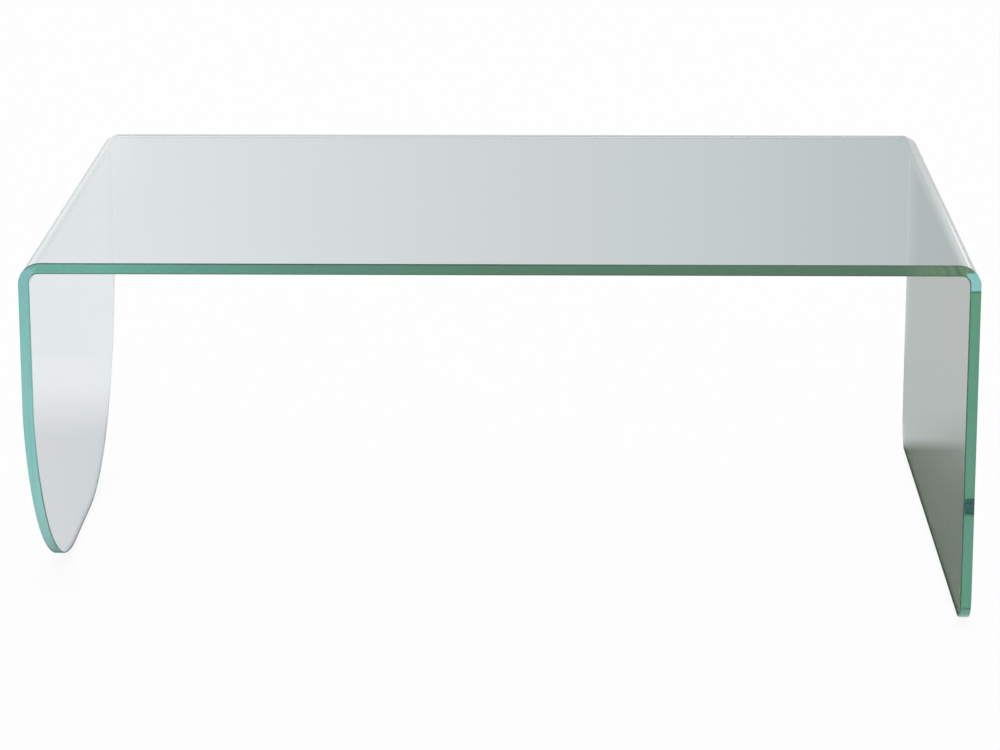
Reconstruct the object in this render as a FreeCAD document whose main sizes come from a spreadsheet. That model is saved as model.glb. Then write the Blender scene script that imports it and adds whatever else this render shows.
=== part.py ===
"""Waterfall coffee table: one sheet of bent glass that stands on four clear floor pads.

Millimetres. +Z is up and the floor is z = 0, +X runs along the table towards the straight leg,
and the front of the table faces -Y. The origin is on the floor, under the middle of the table.
"""

import FreeCAD, Part
import math
import os
import Sketcher

Vector = FreeCAD.Vector

# How the sketches number the points of a line or arc, and their own level and upright axes.
START, END, CENTRE = range(1, 4)
LEVEL_AXIS, UPRIGHT_AXIS = range(-1, -3, -1)
ORIGIN = (LEVEL_AXIS, START)

# Driving dimensions, in millimetres.
SIZES = {
    # The bent sheet, with its pads under it.
    "table_length": 1020,
    "table_depth": 720,
    "table_height": 400,
    "glass_thickness": 12,
    "bend_outer_radius": 24,
    "bend_inner_radius": 9,
    "arris_width": 1.2,
    # The legs: an arc runs on from each end of the rounded leg's foot and is blended into its edge.
    "rounded_leg_foot_length": 140,
    "rounded_leg_blend_radius": 120,
    "straight_leg_corner_radius": 30,
    # How high each of those arcs climbs before its edge, against how far out it runs.
    "rounded_leg_corner_share": 0.77,
    # A floor pad and its self-stick film.
    "pad_diameter": 8,
    "pad_height": 1.8,
    "pad_rim_radius": 0.5,
    "adhesive_thickness": 0.2,
    "adhesive_rim_inset": 0.3,
    # How far out each pad lies, from the middle of a leg's foot to the end of its straight stretch.
    "pad_place_share": 0.75,
}

# How near two places count as the same.
SAME_PLACE = 1e-6

doc = FreeCAD.newDocument("waterfall_coffee_table")
sheet = doc.addObject("Spreadsheet::Sheet", "sizes")
for row, (alias, size) in enumerate(SIZES.items(), start=1):
    sheet.set(f"A{row}", alias)
    sheet.set(f"B{row}", str(size))
    sheet.setAlias(f"B{row}", alias)
doc.recompute()

# Sums of the sizes above, as the document's expressions write them.
FOOT_LEVEL = "(sizes.pad_height + sizes.adhesive_thickness)"
LEG_MIDDLE = "(sizes.table_length - sizes.glass_thickness) / 2"
CORNER_WIDTH = "(sizes.table_depth - sizes.rounded_leg_foot_length) / 2"

subparts = []


def new_body(label):
    """Start one sub-part."""
    body = doc.addObject("PartDesign::Body", label)
    body.Label = label
    subparts.append(body)
    return body


def new_sketch(body, name, plane_role):
    """Start a sketch on one of the body's own origin planes."""
    sketch = body.newObject("Sketcher::SketchObject", name)
    plane = next(f for f in body.Origin.OriginFeatures if f.Role == plane_role)
    sketch.AttachmentSupport = [(plane, "")]
    sketch.MapMode = "FlatFace"
    return sketch


def dimension(sketch, name, expression, *constraint):
    """Add a named dimension and bind it to the sheet of sizes."""
    index = sketch.addConstraint(Sketcher.Constraint(*constraint))
    sketch.renameConstraint(index, name)
    sketch.setExpression(f"Constraints.{name}", expression)


def line(start_across, start_up, end_across, end_up):
    """A line of a sketch."""
    return Part.LineSegment(Vector(start_across, start_up, 0), Vector(end_across, end_up, 0))


def arc(across, up, radius, start, end):
    """An arc of a sketch about a point, anticlockwise from one turn to another, in radians."""
    circle = Part.Circle(Vector(across, up, 0), Vector(0, 0, 1), radius)
    return Part.ArcOfCircle(circle, start, end)


def edge_names(shape, wanted):
    """Names of the edges of a shape that pass a test."""
    return [f"Edge{n}" for n, edge in enumerate(shape.Edges, start=1) if wanted(edge)]


def bend_profile(body):
    """The section of the bent sheet, drawn on the upright plane along the table."""
    half_length = sheet.table_length / 2
    top = sheet.table_height
    foot = sheet.pad_height + sheet.adhesive_thickness
    wall = sheet.glass_thickness
    outer_radius = sheet.bend_outer_radius
    inner_radius = sheet.bend_inner_radius
    half_top = half_length - outer_radius
    spring = top - outer_radius
    half_underside = half_length - wall - inner_radius
    crook_spring = top - wall - inner_radius
    right_turns = (0, math.pi / 2)
    left_turns = (math.pi / 2, math.pi)

    sketch = new_sketch(body, "bend_profile", "XZ_Plane")
    (
        left_outside, left_bend, table_top, right_bend, right_outside, right_foot,
        right_inside, right_crook, underside, left_crook, left_inside, left_foot,
    ) = sketch.addGeometry([
        line(-half_length, foot, -half_length, spring),
        arc(-half_top, spring, outer_radius, *left_turns),
        line(-half_top, top, half_top, top),
        arc(half_top, spring, outer_radius, *right_turns),
        line(half_length, spring, half_length, foot),
        line(half_length, foot, half_length - wall, foot),
        line(half_length - wall, foot, half_length - wall, crook_spring),
        arc(half_underside, crook_spring, inner_radius, *right_turns),
        line(half_underside, top - wall, -half_underside, top - wall),
        arc(-half_underside, crook_spring, inner_radius, *left_turns),
        line(-half_length + wall, crook_spring, -half_length + wall, foot),
        line(-half_length + wall, foot, -half_length, foot),
    ], False)

    for constraint in (
        ("Tangent", left_outside, END, left_bend, END),
        ("Tangent", left_bend, START, table_top, START),
        ("Tangent", table_top, END, right_bend, END),
        ("Tangent", right_bend, START, right_outside, START),
        ("Coincident", right_outside, END, right_foot, START),
        ("Coincident", right_foot, END, right_inside, START),
        ("Tangent", right_inside, END, right_crook, START),
        ("Tangent", right_crook, END, underside, START),
        ("Tangent", underside, END, left_crook, START),
        ("Tangent", left_crook, END, left_inside, START),
        ("Coincident", left_inside, END, left_foot, START),
        ("Coincident", left_foot, END, left_outside, START),
        ("Vertical", left_outside),
        ("Vertical", right_outside),
        ("Vertical", right_inside),
        ("Vertical", left_inside),
        ("Horizontal", table_top),
        ("Horizontal", underside),
        ("Horizontal", right_foot),
        ("Horizontal", left_foot),
        ("Equal", left_bend, right_bend),
        ("Equal", left_crook, right_crook),
        ("Equal", left_foot, right_foot),
        ("Symmetric", left_outside, START, right_outside, END, UPRIGHT_AXIS),
    ):
        sketch.addConstraint(Sketcher.Constraint(*constraint))
    dimension(sketch, "length", "sizes.table_length",
              "DistanceX", left_outside, START, right_outside, END, sheet.table_length)
    dimension(sketch, "height", "sizes.table_height",
              "DistanceY", *ORIGIN, table_top, START, top)
    dimension(sketch, "foot_level", FOOT_LEVEL,
              "DistanceY", *ORIGIN, left_outside, START, foot)
    dimension(sketch, "leg_wall", "sizes.glass_thickness",
              "DistanceX", left_foot, END, left_foot, START, wall)
    dimension(sketch, "top_wall", "sizes.glass_thickness",
              "DistanceY", underside, END, table_top, START, wall)
    dimension(sketch, "bend_radius", "sizes.bend_outer_radius",
              "Radius", left_bend, outer_radius)
    dimension(sketch, "crook_radius", "sizes.bend_inner_radius",
              "Radius", left_crook, inner_radius)
    return sketch


def rounded_corner_waste(body):
    """What is cut from the rounded leg's two corners: each a triangle with an arc for its long side."""
    half_depth = sheet.table_depth / 2
    half_foot = sheet.rounded_leg_foot_length / 2
    foot = sheet.pad_height + sheet.adhesive_thickness

    # The arc leaves the foot level, so its middle stands straight above the end of the foot.
    width = half_depth - half_foot
    height = width * sheet.rounded_leg_corner_share
    radius = (width ** 2 + height ** 2) / (2 * height)
    middle = foot + radius
    from_foot = -math.pi / 2
    to_edge = math.atan2(height - radius, width)

    sketch = new_sketch(body, "rounded_corner_waste", "YZ_Plane")
    front_edge, front_arc, front_foot, back_edge, back_arc, back_foot = sketch.addGeometry([
        line(-half_depth, foot, -half_depth, foot + height),
        arc(-half_foot, middle, radius, -math.pi - to_edge, from_foot),
        line(-half_foot, foot, -half_depth, foot),
        line(half_depth, foot + height, half_depth, foot),
        arc(half_foot, middle, radius, from_foot, to_edge),
        line(half_depth, foot, half_foot, foot),
    ], False)
    for constraint in (
        ("Coincident", front_edge, END, front_arc, START),
        ("Tangent", front_arc, END, front_foot, START),
        ("Coincident", front_foot, END, front_edge, START),
        ("Coincident", back_foot, END, back_arc, START),
        ("Coincident", back_arc, END, back_edge, START),
        ("Coincident", back_edge, END, back_foot, START),
        ("Vertical", front_edge),
        ("Horizontal", front_foot),
        ("Equal", front_arc, back_arc),
        ("Symmetric", front_edge, START, back_edge, END, UPRIGHT_AXIS),
        ("Symmetric", front_edge, END, back_edge, START, UPRIGHT_AXIS),
        ("Symmetric", front_foot, START, back_foot, END, UPRIGHT_AXIS),
    ):
        sketch.addConstraint(Sketcher.Constraint(*constraint))
    dimension(sketch, "depth", "sizes.table_depth",
              "DistanceX", front_edge, START, back_edge, END, sheet.table_depth)
    dimension(sketch, "foot_length", "sizes.rounded_leg_foot_length",
              "DistanceX", front_foot, START, back_foot, END, sheet.rounded_leg_foot_length)
    dimension(sketch, "foot_level", FOOT_LEVEL,
              "DistanceY", *ORIGIN, front_edge, START, foot)
    dimension(sketch, "corner_height", f"{CORNER_WIDTH} * sizes.rounded_leg_corner_share",
              "DistanceY", front_edge, START, front_edge, END, height)
    return sketch


def leg_corners(shape, side, at_foot):
    """The corners of one leg, at its foot or above it: straight edges that cross the glass."""
    foot = shape.BoundBox.ZMin

    def is_corner(edge):
        box = edge.BoundBox
        on_leg = min(side * box.XMin, side * box.XMax) > 0
        crosses_glass = max(box.YLength, box.ZLength) < SAME_PLACE
        return on_leg and crosses_glass and (box.ZMax - foot < SAME_PLACE) == at_foot

    return edge_names(shape, is_corner)


def rim_lines(shape):
    """The lines where the two faces of the sheet meet its rim, all the way round."""
    foot = shape.BoundBox.ZMin

    def on_rim(face):
        box = face.BoundBox
        if isinstance(face.Surface, Part.Cylinder):
            return abs(face.Surface.Axis.x) > abs(face.Surface.Axis.y)
        return box.YLength < SAME_PLACE or box.ZMax - foot < SAME_PLACE

    def is_rim_line(edge):
        first, second = shape.ancestorsOfType(edge, Part.Face)
        return on_rim(first) != on_rim(second)

    return edge_names(shape, is_rim_line)


def bent_glass_sheet():
    """Clear float glass, bent to an upside-down U and ground all round its rim."""
    body = new_body("bent_glass_sheet")
    profile = bend_profile(body)
    blank = body.newObject("PartDesign::Pad", "bent_blank")
    blank.Profile = profile
    blank.SideType = "Symmetric"
    blank.setExpression("Length", "sizes.table_depth")
    doc.recompute()

    feature = body.newObject("PartDesign::Pocket", "rounded_leg_cut")
    feature.Profile = rounded_corner_waste(body)
    feature.Type = "ThroughAll"
    doc.recompute()
    if feature.Shape.Volume >= blank.Shape.Volume:
        raise RuntimeError("the rounded leg's corners weren't cut")

    for side, at_foot, radius in (
        (-1, False, "rounded_leg_blend_radius"),
        (1, True, "straight_leg_corner_radius"),
    ):
        corners = body.newObject("PartDesign::Fillet", radius.replace("radius", "ground"))
        corners.Base = (feature, leg_corners(feature.Shape, side, at_foot))
        corners.setExpression("Radius", f"sizes.{radius}")
        doc.recompute()
        feature = corners

    arris = body.newObject("PartDesign::Chamfer", "ground_arris")
    arris.Base = (feature, rim_lines(feature.Shape))
    arris.setExpression("Size", "sizes.arris_width")
    doc.recompute()


def floor_pad(name, x_place, y_place):
    """A clear polyurethane disc with a rounded rim, and the film that sticks it to the glass."""
    pad = new_body(name)
    outline = new_sketch(pad, f"{name}_outline", "XY_Plane")
    circle = outline.addGeometry(
        Part.Circle(Vector(0, 0, 0), Vector(0, 0, 1), sheet.pad_diameter / 2), False)
    outline.addConstraint(Sketcher.Constraint("Coincident", circle, CENTRE, *ORIGIN))
    dimension(outline, "across", "sizes.pad_diameter", "Diameter", circle, sheet.pad_diameter)
    disc = pad.newObject("PartDesign::Pad", f"{name}_disc")
    disc.Profile = outline
    disc.setExpression("Length", "sizes.pad_height")
    doc.recompute()
    rim = pad.newObject("PartDesign::Fillet", f"{name}_rim")
    rim.Base = (disc, edge_names(disc.Shape, lambda edge: edge.BoundBox.ZMax < SAME_PLACE))
    rim.setExpression("Radius", "sizes.pad_rim_radius")

    film = doc.addObject("Part::Cylinder", f"{name}_adhesive")
    film.Label = f"{name}_adhesive"
    film.setExpression("Radius", "sizes.pad_diameter / 2 - sizes.adhesive_rim_inset")
    film.setExpression("Height", "sizes.adhesive_thickness")
    film.setExpression("Placement.Base.z", "sizes.pad_height")
    subparts.append(film)

    for piece in (pad, film):
        piece.setExpression("Placement.Base.x", x_place)
        piece.setExpression("Placement.Base.y", y_place)
    doc.recompute()


def check():
    """Stop if any feature failed, any sketch is loose or any sub-part isn't one valid solid."""
    for item in doc.Objects:
        if "Invalid" in item.State or "Error" in item.State:
            raise RuntimeError(f"{item.Name} failed: {item.State}")
        if item.TypeId == "Sketcher::SketchObject" and not item.FullyConstrained:
            raise RuntimeError(f"{item.Name} isn't held by its dimensions")
    for piece in subparts:
        if piece.Shape.isNull() or not piece.Shape.isValid() or len(piece.Shape.Solids) != 1:
            raise RuntimeError(f"{piece.Label} isn't one valid solid")
        print(f"{piece.Label}: {piece.Shape.Volume:.2f} mm3, box {piece.Shape.BoundBox}")


bent_glass_sheet()
for leg, side, half_foot in (
    ("rounded_leg", "-", "sizes.rounded_leg_foot_length / 2"),
    ("straight_leg", "", "(sizes.table_depth / 2 - sizes.straight_leg_corner_radius)"),
):
    for end_name, end_side in (("front", "-"), ("back", "")):
        y_place = f"{end_side}{half_foot} * sizes.pad_place_share"
        floor_pad(f"{leg}_{end_name}_pad", f"{side}{LEG_MIDDLE}", y_place)
doc.recompute()
check()

os.makedirs("parts", exist_ok=True)
for piece in subparts:
    piece.Shape.exportStep(f"parts/{piece.Label}.step")
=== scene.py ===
"""Looks of the waterfall coffee table: a bent sheet of clear float glass on four clear floor pads.

Metres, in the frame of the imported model: +X along the table towards the straight leg, the front
facing -Y, +Z up from the floor.
"""

import math

import bpy
from mathutils import Matrix, Vector


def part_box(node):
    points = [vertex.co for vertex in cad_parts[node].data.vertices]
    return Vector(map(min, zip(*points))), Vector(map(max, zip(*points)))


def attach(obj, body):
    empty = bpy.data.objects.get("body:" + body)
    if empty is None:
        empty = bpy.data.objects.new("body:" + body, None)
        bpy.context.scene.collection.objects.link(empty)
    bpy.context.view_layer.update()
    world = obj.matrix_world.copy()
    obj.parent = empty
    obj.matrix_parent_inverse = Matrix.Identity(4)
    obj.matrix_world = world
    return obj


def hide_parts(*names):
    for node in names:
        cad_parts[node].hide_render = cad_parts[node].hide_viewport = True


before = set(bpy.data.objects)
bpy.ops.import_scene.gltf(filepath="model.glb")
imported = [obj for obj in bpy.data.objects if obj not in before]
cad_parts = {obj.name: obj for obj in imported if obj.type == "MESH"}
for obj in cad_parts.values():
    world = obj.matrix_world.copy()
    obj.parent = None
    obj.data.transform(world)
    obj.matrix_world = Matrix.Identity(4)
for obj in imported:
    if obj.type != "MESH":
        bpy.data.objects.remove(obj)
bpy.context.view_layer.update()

MM = 0.001
LEFT, RIGHT = Vector((-1, 0, 0)), Vector((1, 0, 0))
FRONT, BACK = Vector((0, -1, 0)), Vector((0, 1, 0))

# The glass: its box in the frame, and the sizes that the box doesn't tell.
SHEET_LOW, SHEET_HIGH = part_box("bent_glass_sheet")
GLASS_THICKNESS = 12 * MM
BEND_OUTER_RADIUS = 24 * MM
BEND_INNER_RADIUS = 9 * MM
ARRIS_WIDTH = 1.2 * MM
ROUNDED_FOOT_LENGTH = 140 * MM
ROUNDED_CORNER_SHARE = 0.77
ROUNDED_BLEND_RADIUS = 120 * MM
STRAIGHT_CORNER_RADIUS = 30 * MM

# The steps of the round stretches, the steps along the top, and the turn from upright to level.
STEP_TURN = math.radians(1)
TOP_STEPS = 24
QUARTER_TURN = math.radians(90)

# How far grinding has dulled the glass and painted shade darkens it: not at all, hardly, half or fully.
CLEAR, FAINT, HALF, DULL = 0.0, 0.15, 0.5, 1.0

BLACK, WHITE = "#000000", "#FFFFFF"

# A Mix node for colours: its kind, its settings and the numbers of its sockets.
MIX, COLOURS = "ShaderNodeMix", {"data_type": "RGBA"}
SHARE, FIRST, SECOND, MIXED = 0, 6, 7, 2


def linear(hex_colour):
    """An sRGB hex colour as the linear colour that a shader takes."""
    shares = [int(hex_colour[i:i + 2], 16) / 255 for i in (1, 3, 5)]
    return tuple(s / 12.92 if s <= 0.04045 else ((s + 0.055) / 1.055) ** 2.4 for s in shares) + (1,)


def add(tree, kind, settings=None, inputs=None, stops=None, blend="LINEAR"):
    """Add one node with its settings, values or links for its inputs, and a ramp's colour stops."""
    node = tree.nodes.new(kind)
    for name, value in (settings or {}).items():
        setattr(node, name, value)
    for name, value in (inputs or {}).items():
        if isinstance(value, bpy.types.NodeSocket):
            tree.links.new(value, node.inputs[name])
        else:
            node.inputs[name].default_value = value
    if stops:
        node.color_ramp.interpolation = blend
    for n, (place, hex_colour) in enumerate(stops or ()):
        elements = node.color_ramp.elements
        stop = elements[n] if n < len(elements) else elements.new(place)
        stop.position = place
        stop.color = linear(hex_colour)
    return node


def new_material(name):
    """An empty node material and its output node."""
    material = bpy.data.materials.new(name)
    material.use_nodes = True
    material.node_tree.nodes.clear()
    return material, add(material.node_tree, "ShaderNodeOutputMaterial")


def clear_float_glass():
    """Soda-lime float glass, fire-polished: clear through its thickness, green along its length.

    The iron in it gives the green. The ground arris is satin, and a painted shade darkens it from outside
    into a fine dark line along each edge.
    """
    ground_roughness = 0.3
    material, output = new_material("clear_float_glass")
    tree = material.node_tree
    mark = add(tree, "ShaderNodeAttribute", {"attribute_name": "edge_work_and_painted_shade"}).outputs["Fac"]
    inside = add(tree, "ShaderNodeNewGeometry").outputs["Backfacing"]
    outside_only = {"operation": "SUBTRACT", "use_clamp": True}
    dull_and_shaded = add(tree, "ShaderNodeMath", outside_only, {0: mark, 1: inside}).outputs[0]
    satin = add(tree, "ShaderNodeMapRange", inputs={"Value": dull_and_shaded, "To Max": ground_roughness})
    # Painted shade: seen from outside, marked faces take this darker tint, which draws the fine dark
    # lines along the arris and darkens the rounded leg's rim towards the floor.
    tint = add(tree, MIX, COLOURS, {SHARE: dull_and_shaded, FIRST: linear(WHITE), SECOND: linear("#7E7878")})
    glass = add(tree, "ShaderNodeBsdfPrincipled", inputs={
        "Base Color": tint.outputs[MIXED],
        "Roughness": satin.outputs["Result"],
        "IOR": 1.52,
        "Transmission Weight": 1.0,
    })
    iron = add(tree, "ShaderNodeVolumeAbsorption", inputs={
        "Color": linear("#00CBC4"),
        "Density": 2.09,
    })
    tree.links.new(glass.outputs["BSDF"], output.inputs["Surface"])
    tree.links.new(iron.outputs["Volume"], output.inputs["Volume"])
    return material


def clear_polyurethane():
    """Clear cast polyurethane: soft and slightly cloudy, with the satin skin of its mould."""
    cloud_size, skin_grain, skin_depth = 2.5 * MM, 0.25 * MM, 0.02 * MM
    material, output = new_material("clear_polyurethane")
    tree = material.node_tree
    place = add(tree, "ShaderNodeNewGeometry").outputs["Position"]
    cloud, grain = (
        add(tree, "ShaderNodeTexNoise", inputs={"Vector": place, "Scale": 1 / size}).outputs["Fac"]
        for size in (cloud_size, skin_grain))
    tint = add(tree, MIX, COLOURS, {SHARE: cloud, FIRST: linear("#E9EEEB"), SECOND: linear("#F7F9F8")})
    satin = add(tree, "ShaderNodeMapRange", inputs={"Value": grain, "To Min": 0.12, "To Max": 0.28})
    skin = add(tree, "ShaderNodeBump", inputs={"Height": grain, "Strength": 0.3, "Distance": skin_depth})
    pad = add(tree, "ShaderNodeBsdfPrincipled", inputs={
        "Base Color": tint.outputs[MIXED],
        "Roughness": satin.outputs["Result"],
        "Normal": skin.outputs["Normal"],
        "IOR": 1.5,
        "Transmission Weight": 0.95,
    })
    tree.links.new(pad.outputs["BSDF"], output.inputs["Surface"])
    return material


def clear_acrylic_adhesive():
    """Clear acrylic film: pressed flat, with small bubbles of air caught in it."""
    bubble_spacing, bubble_edge = 1.2 * MM, 0.35
    material, output = new_material("clear_acrylic_adhesive")
    tree = material.node_tree
    place = add(tree, "ShaderNodeNewGeometry").outputs["Position"]
    away = add(tree, "ShaderNodeTexVoronoi", inputs={"Vector": place, "Scale": 1 / bubble_spacing})
    bubble = add(tree, "ShaderNodeMapRange", inputs={
        "Value": away.outputs["Distance"],
        "From Max": bubble_edge,
        "To Min": 1.0,
        "To Max": 0.0,
    }).outputs["Result"]
    tint = add(tree, MIX, COLOURS, {SHARE: bubble, FIRST: linear("#F4F6F4"), SECOND: linear(WHITE)})
    satin = add(tree, "ShaderNodeMapRange", inputs={"Value": bubble, "To Min": 0.05, "To Max": 0.4})
    film = add(tree, "ShaderNodeBsdfPrincipled", inputs={
        "Base Color": tint.outputs[MIXED],
        "Roughness": satin.outputs["Result"],
        "IOR": 1.47,
        "Transmission Weight": 0.95,
    })
    tree.links.new(film.outputs["BSDF"], output.inputs["Surface"])
    return material


class MeshDraft:
    """Points and faces of one mesh, with a mark for each face and its look at each of its points."""

    def __init__(self):
        self.points = []
        self.faces = []
        self.looks = []
        self.marks = []

    def point(self, place):
        """Add a point and give its number."""
        self.points.append(place)
        return len(self.points) - 1

    def face(self, corners, looks, mark):
        """Add a face whose corners run so that it looks the way that its corners do."""
        places = [self.points[corner] for corner in corners]
        turn = sum((a.cross(b) for a, b in zip(places, places[1:] + places[:1])), Vector())
        if turn.dot(sum(looks, Vector())) < 0:
            corners, looks = corners[::-1], looks[::-1]
        self.faces.append(corners)
        self.looks += [look.normalized() for look in looks]
        self.marks.append(mark)

    def build(self, name, mark_name, material):
        """Make the object, with the marks as an attribute of its faces."""
        mesh = bpy.data.meshes.new(name)
        mesh.from_pydata(self.points, [], self.faces)
        mesh.materials.append(material)
        mesh.polygons.foreach_set("use_smooth", [True] * len(self.faces))
        mesh.normals_split_custom_set(self.looks)
        mesh.attributes.new(mark_name, "FLOAT", "FACE").data.foreach_set("value", self.marks)
        mesh.validate()
        mesh.update()
        piece = bpy.data.objects.new(name, mesh)
        bpy.context.scene.collection.objects.link(piece)
        return piece


def turns(first, last):
    """Even steps of turn from the first to the last, both included."""
    steps = max(1, math.ceil((last - first) / STEP_TURN))
    return [first + (last - first) * step / steps for step in range(steps + 1)]


def bend_stations(side, y, out):
    """Stations of the rim over one bend, from left to right, at the front or the back.

    A station of the rim is a point on the outer face, one on the inner face, the way out of the
    rim there and the way that the outer face looks.
    """
    stations = []
    outer_middle, inner_middle = (
        Vector((side * (SHEET_HIGH.x - inset), y, SHEET_HIGH.z - inset))
        for inset in (BEND_OUTER_RADIUS, GLASS_THICKNESS + BEND_INNER_RADIUS))
    for turn in turns(-QUARTER_TURN, 0) if side < 0 else turns(0, QUARTER_TURN):
        look = Vector((math.sin(turn), 0, math.cos(turn)))
        outer = outer_middle + look * BEND_OUTER_RADIUS
        inner = inner_middle + look * BEND_INNER_RADIUS
        stations.append((outer, inner, out, look))
    return stations


def run_stations(y, out):
    """Stations of the rim over the left bend, the top and the right bend."""
    left, right = bend_stations(-1, y, out), bend_stations(1, y, out)
    (first_outer, first_inner, _, look), (last_outer, last_inner, _, _) = left[-1], right[0]
    top = []
    for step in range(1, TOP_STEPS):
        share = step / TOP_STEPS
        top.append((first_outer.lerp(last_outer, share), first_inner.lerp(last_inner, share), out, look))
    return left + top + right


def rounded_corner():
    """The front corner of the rounded leg, from its edge to its foot, as arcs.

    Each arc has its middle (y, z), its radius and the turns of its way out, from level to down.
    """
    edge_y, foot_y, foot_z = SHEET_LOW.y, -ROUNDED_FOOT_LENGTH / 2, SHEET_LOW.z
    width = foot_y - edge_y
    height = width * ROUNDED_CORNER_SHARE
    radius = (width ** 2 + height ** 2) / (2 * height)
    middle_z = foot_z + radius

    # The blend touches the edge and lies inside the arc, which leaves the foot level.
    blend = ROUNDED_BLEND_RADIUS
    blend_y = edge_y + blend
    blend_z = middle_z - math.sqrt((radius - blend) ** 2 - (foot_y - blend_y) ** 2)
    first = math.atan2(middle_z - blend_z, foot_y - blend_y)
    return (
        ((blend_y, blend_z), blend, 0, first),
        ((foot_y, middle_z), radius, first, QUARTER_TURN),
    )


def straight_corner():
    """The front corner of the straight leg, as one arc in the same form."""
    radius = STRAIGHT_CORNER_RADIUS
    return (((SHEET_LOW.y + radius, SHEET_LOW.z + radius), radius, 0, QUARTER_TURN),)


def foot_stations(look, corner):
    """Stations of the rim round one leg's foot, from the front corner to the back one."""
    face_x = SHEET_LOW.x if look == LEFT else SHEET_HIGH.x
    front = []
    for (middle_y, middle_z), radius, first, last in corner:
        for turn in turns(first, last)[1 if front else 0:]:
            out = Vector((0, -math.cos(turn), -math.sin(turn)))
            front.append((Vector((face_x, middle_y, middle_z)) + out * radius, out))
    turned = Vector((1, -1, 1))
    outline = front + [(place * turned, out * turned) for place, out in front[::-1]]
    return [(place, place - look * GLASS_THICKNESS, out, look) for place, out in outline]


FRONT_RUN = run_stations(SHEET_LOW.y, FRONT)
BACK_RUN = run_stations(SHEET_HIGH.y, BACK)
LEFT_FOOT = foot_stations(LEFT, rounded_corner())
RIGHT_FOOT = foot_stations(RIGHT, straight_corner())

# The rim, all the way round: along the front, round the right foot, back, and round the left foot.
RIM = FRONT_RUN + RIGHT_FOOT + BACK_RUN[::-1] + LEFT_FOOT[::-1]


def share_past(value, first, last):
    """How far a value is on its way from the first of two places to the last, as a share."""
    return min(max((value - first) / (last - first), 0), 1)


def arris_marks(outer, out, look):
    """How satin the arris is, and how dark its painted shade, along the outer and the inner face.

    Along the top it is dullest and darkest below, and in front towards the rounded leg. Down the legs it
    is dullest and darkest inside: on the straight leg's upright edges, and round the rounded leg's
    corners.
    """
    # How far the rim faces down: 0 on an upright edge, 1 under the foot.
    down = -out.z
    halfway = math.cos(QUARTER_TURN / 2)
    if look.z > halfway:
        full_shade_end, lighter_edge = 0.0, 0.2
        lighter = share_past(outer.x, full_shade_end, lighter_edge)
        outer_mark = DULL + (HALF - DULL) * lighter if out.y < 0 else HALF
        return outer_mark, DULL
    if look.x > 0:
        shade_share = 1 if down < halfway else 0
    else:
        lighter_edge, full_shade_start, full_shade_end = 0.3, 0.55, 0.88
        shade_share = share_past(down, lighter_edge, full_shade_start) if down < full_shade_end else 0
    return FAINT, HALF + (DULL - HALF) * shade_share


def rim_mark(outer, out):
    """How dark the painted shade on the rim is, and how satin: clear and polished, but shaded darker and
    satin towards the floor on the rounded leg.
    """
    shaded_from = 0.62
    return DULL * share_past(-out.z, shaded_from, 1) if outer.x < 0 else CLEAR


def bent_glass():
    """The sheet with its two faces, its flat polished rim and the ground arris along both."""
    draft = MeshDraft()
    rings = []
    for outer, inner, out, look in RIM:
        rings.append([draft.point(place) for place in (
            outer - out * ARRIS_WIDTH,
            outer - look * ARRIS_WIDTH,
            inner + look * ARRIS_WIDTH,
            inner - out * ARRIS_WIDTH,
        )])

    # The rim's bands, from the outer face to the inner one. The arris is shaded as the rim is.
    for far in range(len(RIM)):
        near = far - 1
        outer, _, far_out, look = RIM[far]
        near_out = RIM[near][2]
        outer_mark, inner_mark = arris_marks(outer, far_out, look)
        for band, mark in enumerate((outer_mark, rim_mark(outer, far_out), inner_mark)):
            corners = [rings[near][band], rings[far][band], rings[far][band + 1], rings[near][band + 1]]
            draft.face(corners, [near_out, far_out, far_out, near_out], mark)

    # The two faces of the sheet: strips across the bends and the top, and one plane to each leg.
    count = len(FRONT_RUN)
    right_leg = range(count - 1, count + len(RIGHT_FOOT) + 1)
    left_leg = range(-len(LEFT_FOOT) - 1, 1)
    back_of = [count + len(RIGHT_FOOT) + count - 1 - i for i in range(count)]
    for skin, side in ((0, 1), (-1, -1)):
        for i in range(count - 1):
            corners = [rings[k][skin] for k in (i, i + 1, back_of[i + 1], back_of[i])]
            near_way, far_way = FRONT_RUN[i][3] * side, FRONT_RUN[i + 1][3] * side
            draft.face(corners, [near_way, far_way, far_way, near_way], CLEAR)
        for leg, look in ((right_leg, RIGHT), (left_leg, LEFT)):
            draft.face([rings[k][skin] for k in leg], [look * side] * len(leg), CLEAR)
    return draft.build("bent_glass", "edge_work_and_painted_shade", clear_float_glass())


# Camera of the photograph: place and aim found from the table's own edges.
CAMERA_PLACE = Vector((75.56, -4123.56, 1267.54)) * MM
CAMERA_YAW = -0.019704
CAMERA_PITCH = 0.256730
CAMERA_ROLL = 0.001772
FOCAL_PIXELS = 3655.56
IMAGE_WIDTH = 1000
SENSOR_WIDTH = 36


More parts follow.
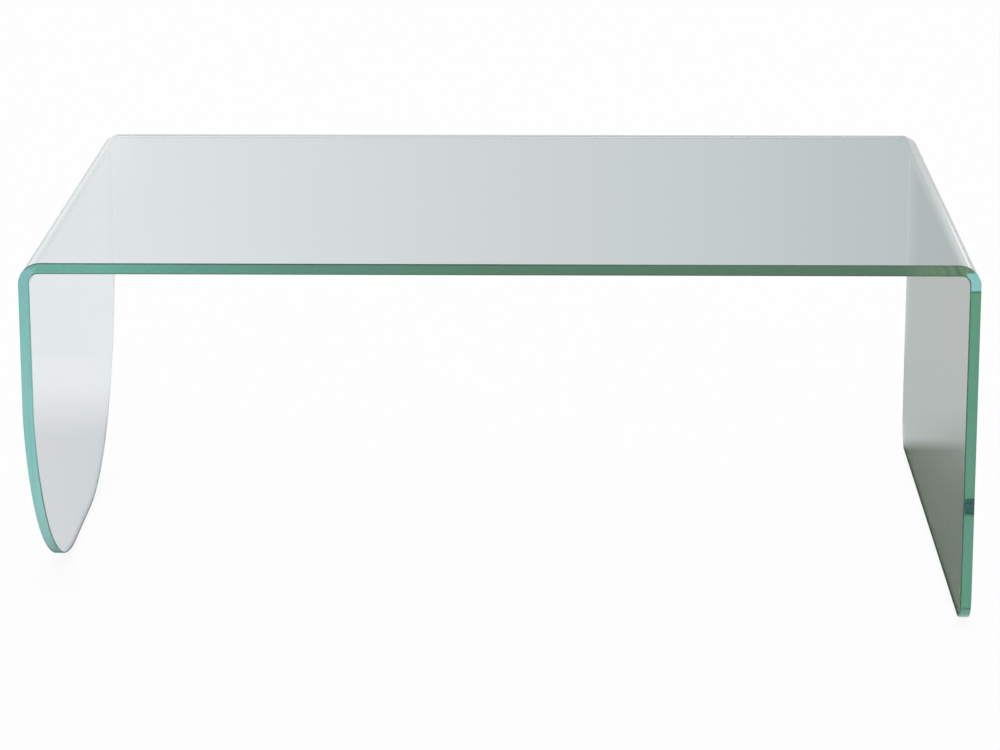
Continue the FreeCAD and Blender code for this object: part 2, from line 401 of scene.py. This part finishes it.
def photograph_camera():
    """The camera at the photograph's place, aim and field of view."""
    data = bpy.data.cameras.new("photograph_camera")
    data.sensor_width = SENSOR_WIDTH
    data.lens = FOCAL_PIXELS / IMAGE_WIDTH * SENSOR_WIDTH
    data.clip_start, data.clip_end = 0.1, 200
    camera = bpy.data.objects.new("photograph_camera", data)
    ahead = Vector((math.sin(CAMERA_YAW) * math.cos(CAMERA_PITCH),
                    math.cos(CAMERA_YAW) * math.cos(CAMERA_PITCH),
                    -math.sin(CAMERA_PITCH)))
    right = Vector((math.cos(CAMERA_YAW), -math.sin(CAMERA_YAW), 0))
    down = ahead.cross(right)
    tilted_right = math.cos(CAMERA_ROLL) * right + math.sin(CAMERA_ROLL) * down
    tilted_down = -math.sin(CAMERA_ROLL) * right + math.cos(CAMERA_ROLL) * down
    axes = Matrix((tilted_right, -tilted_down, -ahead)).transposed()
    camera.matrix_world = Matrix.Translation(CAMERA_PLACE) @ axes.to_4x4()
    bpy.context.scene.collection.objects.link(camera)
    bpy.context.scene.camera = camera


def studio_world():
    """Even white light from all round, as in a tent of white cloth."""
    world = bpy.data.worlds.new("studio")
    bpy.context.scene.world = world
    world.use_nodes = True
    tree = world.node_tree
    tree.nodes.clear()
    background = add(tree, "ShaderNodeBackground", inputs={"Color": linear(WHITE), "Strength": 1.0})
    output = add(tree, "ShaderNodeOutputWorld")
    tree.links.new(background.outputs[0], output.inputs["Surface"])


def stage_sheet(name, points, faces, material):
    """A thin sheet of the studio, which isn't part of the table."""
    mesh = bpy.data.meshes.new(name)
    mesh.from_pydata(points, [], faces)
    mesh.materials.append(material)
    sheet = bpy.data.objects.new(name, mesh)
    bpy.context.scene.collection.objects.link(sheet)
    return sheet


def pale_floor():
    """White paper, lit so evenly that only a light shadow of the table is left on it."""
    half_size, evenness = 60.0, 0.86
    material, output = new_material("white_paper")
    tree = material.node_tree
    path = add(tree, "ShaderNodeLightPath").outputs
    seen = path["Is Camera Ray"]
    for kind in ("Is Glossy Ray", "Is Transmission Ray"):
        either = add(tree, "ShaderNodeMath", {"operation": "MAXIMUM"}, {0: seen, 1: path[kind]})
        seen = either.outputs[0]
    share = add(tree, "ShaderNodeMath", {"operation": "MULTIPLY"}, {0: seen, 1: evenness})
    paper = add(tree, "ShaderNodeBsdfDiffuse", inputs={"Color": linear("#FDFDFD")})
    glow = add(tree, "ShaderNodeEmission", inputs={"Color": linear("#FEFEFE"), "Strength": 1.0})
    evenly_lit = add(tree, "ShaderNodeMixShader", inputs={
        0: share.outputs[0],
        1: paper.outputs[0],
        2: glow.outputs[0],
    })
    tree.links.new(evenly_lit.outputs[0], output.inputs["Surface"])
    corners = [(x, y, 0) for x, y in ((-1, -1), (1, -1), (1, 1), (-1, 1))]
    stage_sheet("pale_floor", [Vector(corner) * half_size for corner in corners], [range(4)], material)


# What a card shows in: reflections on the glass, or the view through the glass.
MIRRORED, THROUGH = "mirrored", "through"


def card(name, points, faces, colour_of, shows):
    """A glowing card, no lamp, that shows only in the glass as a painted reflection or a painted view
    through it, in a colour that its place gives it.
    """
    material, output = new_material(name)
    tree = material.node_tree
    place = add(tree, "ShaderNodeNewGeometry").outputs["Position"]
    glow = add(tree, "ShaderNodeEmission", inputs={"Color": colour_of(tree, place), "Strength": 1.0})
    tree.links.new(glow.outputs[0], output.inputs["Surface"])
    material.cycles.emission_sampling = "NONE"
    sheet = stage_sheet(name, points, faces, material)
    sheet.visible_camera = False
    sheet.visible_diffuse = False
    sheet.visible_shadow = False
    sheet.visible_volume_scatter = False
    sheet.visible_glossy = shows == MIRRORED
    sheet.visible_transmission = shows == THROUGH


def flat_card(name, low, high, colour_of, shows):
    """A rectangular card between two corners, lying level or standing along X."""
    corners = [low, (high[0], *low[1:]), high, (low[0], *high[1:])]
    card(name, corners, [range(4)], colour_of, shows)


def along(tree, place, way, stops, blend="LINEAR"):
    """A colour that changes along a way across a card, with stops at distances along it."""
    far = add(tree, "ShaderNodeVectorMath", {"operation": "DOT_PRODUCT"}, {0: place, 1: way})
    first, last = stops[0][0], stops[-1][0]
    share = add(tree, "ShaderNodeMapRange", inputs={
        "Value": far.outputs["Value"],
        "From Min": first,
        "From Max": last,
    })
    shares = [((at - first) / (last - first), colour) for at, colour in stops]
    ramp = add(tree, "ShaderNodeValToRGB", None, {"Fac": share.outputs["Result"]}, shares, blend)
    return ramp.outputs["Color"]


def past(tree, place, line):
    """How far a place is past a soft line across a card, as a share.

    A soft line is a way across the card, and the distances along it where the line starts and ends.
    """
    way, first, last = line
    return along(tree, place, way, ((first, BLACK), (last, WHITE)), "EASE")


def across(tree, place, line, before, after):
    """One colour that turns to another past a soft line across a card."""
    share = past(tree, place, line)
    return add(tree, MIX, COLOURS, {SHARE: share, FIRST: before, SECOND: after}).outputs[MIXED]


def fading(tree, place, colour, *lines):
    """A colour that fades to white past each of some soft lines across a card."""
    for line in lines:
        colour = across(tree, place, line, colour, linear(WHITE))
    return colour


# Ways across the cards, seen from the front of the table.
ALONG, AGAINST = (1, 0, 0), (-1, 0, 0)
AWAY, TOWARDS = (0, 1, 0), (0, -1, 0)
UP, DOWN = (0, 0, 1), (0, 0, -1)

# The painted wall behind the table, seen only in the glass, in greys that fall off along it.
WALL_Y, WALL_END, WALL_TOP = 0.8, 1.5, 1.6
WALL_TONES = (
    (-0.562, "#E2E5E6"), (-0.30, "#DADDDE"), (0.0, "#D1D5D6"),
    (0.30, "#C7CDCE"), (0.546, "#BBC4C4"), (0.62, "#B4BDBC"))
HIGH_FADE = (UP, 0.8, WALL_TOP)

# The ground: where the card that the legs mirror starts, and the soft line on it by the left leg.
# By the right leg the soft line is widest at one X and meets the leg at another, on both sides.
GROUND_FRONT = -0.6
LEFT_LINE = (AWAY, 0.34, 0.68)
UNDER_TABLE, PAST_LEG = (0.38, 0.49), (0.616, 0.506)


def wall_colour(tree, place):
    """The painted wall as it shows through the glass: paler past the left leg and darker past the right
    one.

    What lies below the line shows through a leg alone, and what lies above it through the top too.
    """
    past_left, past_right = -0.570, 0.554
    top_line, right_fade = (UP, 0.115, 0.127), (ALONG, 0.64, 0.74)
    low, high = (
        along(tree, place, ALONG, ((past_left, pale),) + WALL_TONES[:-1] + ((past_right, dark),))
        for pale, dark in (("#FBFCFC", "#9E9589"), ("#F0EEEF", "#9E9F99")))
    colour = across(tree, place, top_line, low, high)
    return fading(tree, place, colour, right_fade, HIGH_FADE)


def mirrored_wall_colour(tree, place):
    """The painted greys of the wall, and a painted highlight at each end that lights the bend there."""
    right_end = (ALONG, 0.49, 0.56), ((1, 0, -0.6), 0.22, 0.42), "#F8F9F9"
    left_end = (AGAINST, 0.50, 0.56), (DOWN, -0.58, -0.46), "#F4F5F6"
    fade_from = 0.9
    colour = along(tree, place, ALONG, WALL_TONES)
    for end_line, low_line, bright in (right_end, left_end):
        past_both = across(tree, place, end_line, linear(BLACK), past(tree, place, low_line))
        lit = add(tree, MIX, COLOURS, {SHARE: past_both, FIRST: colour, SECOND: linear(bright)})
        colour = lit.outputs[MIXED]
    end_fades = [(way, fade_from, WALL_END) for way in (ALONG, AGAINST)]
    return fading(tree, place, colour, *end_fades, HIGH_FADE)


def by_leg(tree, place, at_left, at_right):
    """One colour near the left leg that turns to another towards the right leg."""
    middle_line = (ALONG, -0.3, 0.3)
    return across(tree, place, middle_line, at_left, at_right)


def past_right_line(tree, place, widest_x, leg_x):
    """How far a place is past the line on the ground by the right leg: soft, but sharper at the leg."""
    wide = along(tree, place, AWAY, (
        (0.04, BLACK), (0.11, "#4F4F4F"), (0.18, "#6C6C6C"), (0.25, "#8A8A8A"),
        (0.32, "#A6A6A6"), (0.38, "#C6C6C6"), (0.45, "#E6E6E6"), (0.55, WHITE)))
    narrow = past(tree, place, (AWAY, 0.325, 0.400))
    at_leg = along(tree, place, ALONG, sorted(((widest_x, BLACK), (leg_x, WHITE))))
    return add(tree, MIX, COLOURS, {SHARE: at_leg, FIRST: wide, SECOND: narrow}).outputs[MIXED]


def mirrored_ground_colour(tree, place):
    """The ground as the legs mirror it: painted shade, dark under the table, and the greys of the wall
    beyond.
    """
    near = along(tree, place, ALONG, ((-0.5, "#9CA0AA"), (0.5, "#303B24")))
    wall = along(tree, place, ALONG, WALL_TONES)
    past_right = past_right_line(tree, place, *UNDER_TABLE)
    beyond = by_leg(tree, place, past(tree, place, LEFT_LINE), past_right)
    ground = add(tree, MIX, COLOURS, {SHARE: beyond, FIRST: near, SECOND: wall})
    return fading(tree, place, ground.outputs[MIXED], (TOWARDS, -SHEET_LOW.y, -GROUND_FRONT))


def ground_colour(tree, place):
    """The ground by each leg as it shows in the glass: white under the table, and grey beyond."""
    fade_from, fade_to = -0.36, -0.24
    left = across(tree, place, LEFT_LINE, linear(WHITE), linear("#E2E5E6"))
    past_right = past_right_line(tree, place, *UNDER_TABLE)
    right = add(tree, MIX, COLOURS, {SHARE: past_right, FIRST: linear(WHITE), SECOND: linear("#BBC4C4")})
    left = fading(tree, place, left, (ALONG, fade_from, fade_to))
    right = fading(tree, place, right.outputs[MIXED], (AGAINST, fade_from, fade_to))
    return by_leg(tree, place, left, right)


def foot_painted_shade_colour(tree, place):
    """Painted shade on the ground by the rounded leg's foot, seen only in the glass, which darkens the
    foot's tip.
    """
    return along(tree, place, AWAY, (
        (-0.40, WHITE), (-0.26, "#F2F2F2"), (-0.19, "#B9C4C1"), (-0.15, "#7E938C"), (-0.12, "#5A726A")))


def right_ground_colour(tree, place):
    """The ground past the right leg as it shows through it: painted shade, dark green by the table, and
    the warm grey of the wall beyond.
    """
    far_fade = ((1, -0.112, 0), 0.555, 0.60)
    beyond = past_right_line(tree, place, *PAST_LEG)
    ground = add(tree, MIX, COLOURS, {SHARE: beyond, FIRST: linear("#3F5530"), SECOND: linear("#9E9589")})
    return fading(tree, place, ground.outputs[MIXED], far_fade)


def flag_colour(tree, place):
    """The painted grey of the flag under the top's back edge."""
    return along(tree, place, ALONG, ((-0.5, "#A8A8A8"), (0.5, "#787878")))


def rim_colour(tree, place):
    """What the back rim shows, painted: pale at the left end, olive along the top, and a painted glint
    down the right leg.

    The colours change at a slanting line through each of the top's corners.
    """
    over = along(tree, place, ALONG, (
        (-0.485, "#C6DCCD"), (-0.366, "#ACC3B1"), (-0.247, "#A3B19A"), (-0.008, "#929A7D"),
        (0.23, "#909178"), (0.468, "#928E75"), (0.49, "#B29E7B")))
    # Painted glint: a white band on the right leg, with a thin painted dark line below it.
    right_leg = along(tree, place, UP, (
        (0.259, "#AABFA2"), (0.260, "#6E8A76"), (0.261, "#6E8A76"), (0.262, WHITE),
        (0.2825, WHITE), (0.2835, "#C2A67E")))
    # Painted shade: darker near the floor, which darkens the rounded leg's foot.
    left_leg = along(tree, place, UP, (
        (0.0, "#5E7A72"), (0.02, "#8FA39C"), (0.06, "#C8D4D0"), (0.10, WHITE), (0.24, "#F3F7F6"),
        (0.262, "#ECF1F7"), (0.283, "#F6F5F8"), (0.289, "#C6DCCD")))
    corner, softness = SHEET_HIGH.x - SHEET_HIGH.z, 0.2 * MM
    colour = over
    for way, leg in (((1, 0, -1), right_leg), ((-1, 0, -1), left_leg)):
        colour = across(tree, place, (way, corner, corner + softness), colour, leg)
    return colour


def rim_card():
    """A card close round the back half of the rim, of the rim's own shape, that lights it end-on.

    It runs on under the rounded leg's foot.
    """
    gap, spread, tuck = 1 * MM, 1 * MM, 0.3 * MM
    points = []
    for outer, inner, out, look in RIM:
        reach = ROUNDED_FOOT_LENGTH if outer.x < 0 else 0
        if outer.y > -reach:
            points += [outer + look * spread + out * gap, inner + look * tuck + out * gap]
    faces = [(i, i + 1, i + 3, i + 2) for i in range(0, len(points) - 2, 2)]
    card("rim_card", points, faces, rim_colour, THROUGH)


def back_edge_flag():
    """A narrow glowing flag under the top's back edge, whose painted grey gives that edge its fine line.

    It stands edge-on to the camera, so it shows only in the rim, which mirrors it.
    """
    drift, width, half_length = 10.1 * MM, 3.4 * MM, 0.5
    near = Vector((0, SHEET_HIGH.y - drift, SHEET_HIGH.z - GLASS_THICKNESS))
    sight = near - CAMERA_PLACE
    sight.x = 0
    far = near + sight.normalized() * width
    reach = Vector((half_length, 0, 0))
    corners = [near - reach, near + reach, far + reach, far - reach]
    card("back_edge_flag", corners, [range(4)], flag_colour, THROUGH)


def studio_cards():
    """The glowing cards that paint what the glass shows: a wall behind the table, the ground round it,
    and two strips.
    """
    for name, colour_of, shows in (
        ("mirrored_wall", mirrored_wall_colour, MIRRORED),
        ("wall", wall_colour, THROUGH),
    ):
        flat_card(name, (-WALL_END, WALL_Y, 0), (WALL_END, WALL_Y, WALL_TOP), colour_of, shows)

    # The painted ground between the legs, by the rounded leg's foot, and past the straight leg.
    inner_gap, outer_gap = 1 * MM, 0.8 * MM
    inner = SHEET_HIGH.x - GLASS_THICKNESS - inner_gap
    outer = SHEET_HIGH.x + outer_gap
    front, middle, back = SHEET_LOW.y, 0, SHEET_HIGH.y
    foot_front, foot_end, past_leg_end = -0.5, -0.54, 0.71
    lifts = {MIRRORED: 0.6 * MM, THROUGH: 0.3 * MM}
    for name, low, high, colour_of, shows in (
        ("mirrored_ground", (-inner, GROUND_FRONT), (inner, WALL_Y), mirrored_ground_colour, MIRRORED),
        ("ground", (-inner, middle), (inner, WALL_Y), ground_colour, THROUGH),
        ("foot_ground", (foot_end, foot_front), (-inner, back), foot_painted_shade_colour, MIRRORED),
        ("right_ground", (outer, front), (past_leg_end, WALL_Y), right_ground_colour, THROUGH),
    ):
        flat_card(name, (*low, lifts[shows]), (*high, lifts[shows]), colour_of, shows)
    back_edge_flag()
    rim_card()


glass = bent_glass()
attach(glass, "root")
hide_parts("bent_glass_sheet")
polyurethane, adhesive = clear_polyurethane(), clear_acrylic_adhesive()
for name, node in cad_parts.items():
    if name != "bent_glass_sheet":
        node.data.materials[0] = adhesive if name.endswith("adhesive") else polyurethane

photograph_camera()
studio_world()
pale_floor()
studio_cards()

# Enough bounces for light that zigzags along the glass between its two faces.
GLASS_BOUNCES = 256
scene = bpy.context.scene
scene.view_settings.view_transform = "Standard"
scene.cycles.max_bounces = GLASS_BOUNCES
scene.cycles.glossy_bounces = GLASS_BOUNCES
scene.cycles.transmission_bounces = GLASS_BOUNCES
scene.cycles.blur_glossy = 0
